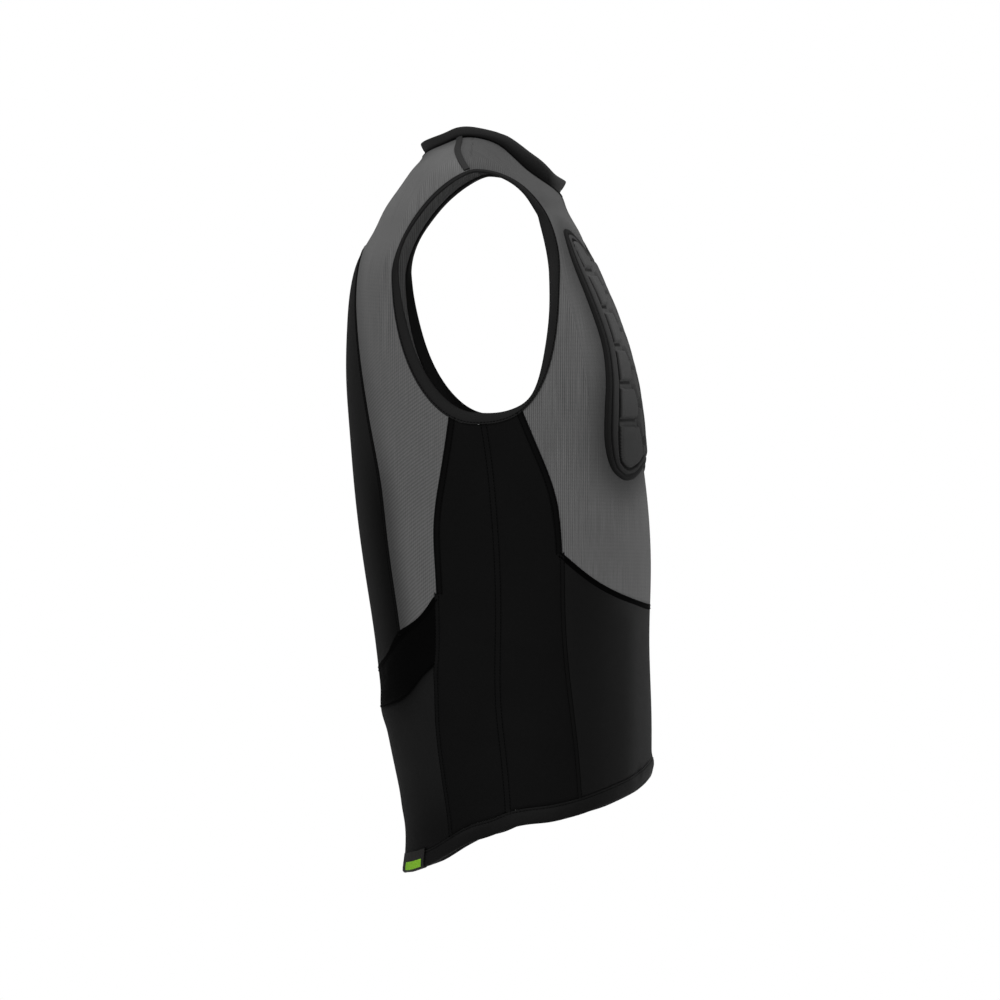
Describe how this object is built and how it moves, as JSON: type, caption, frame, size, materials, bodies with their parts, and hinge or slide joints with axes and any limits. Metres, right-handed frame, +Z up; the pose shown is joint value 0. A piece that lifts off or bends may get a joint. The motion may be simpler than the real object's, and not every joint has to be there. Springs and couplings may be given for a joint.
{
  "type": "protective vest",
  "caption": "Sleeveless sports vest in its worn form: grey mesh yokes, black jersey panels, stand-up collar, bound armholes, drop-tail hem and a moulded honeycomb chest pad.",
  "frame": {"origin": "midway between the shoulder seams, at the height where the vest sits on the shoulders", "axes": "+Z up along the wearer's trunk, -Y to the wearer's front, -X to the wearer's right"},
  "size_m": [0.3536, 0.2903, 0.7073],
  "materials": {
    "grey_mesh": "fine ribbed open knit, matt mid grey",
    "black_jersey": "smooth stretch jersey with a soft sheen, black",
    "charcoal_jersey": "smooth stretch jersey, very dark grey",
    "band_cloth": "folded elastic knit band, dark grey",
    "pad_foam": "cloth-faced moulded foam, dark grey, matt",
    "tag_weave": "woven tag, dark ground with a plain green block"
  },
  "bodies": {
    "root": {"front_mesh": "grey_mesh", "back_mesh": "grey_mesh", "back_panel": "black_jersey", "lumbar_band": "black_jersey", "lower_back": "charcoal_jersey", "lower_front": "black_jersey", "side_panel_front_right": "black_jersey", "side_panel_back_right": "black_jersey", "armhole_binding_right": "band_cloth", "shoulder_tape_right": "band_cloth", "side_panel_front_left": "black_jersey", "side_panel_back_left": "black_jersey", "armhole_binding_left": "band_cloth", "shoulder_tape_left": "band_cloth", "collar": "band_cloth", "hem_band": "black_jersey", "hem_tag": "tag_weave", "chest_pad": "pad_foam"}
  },
  "joints": []
}
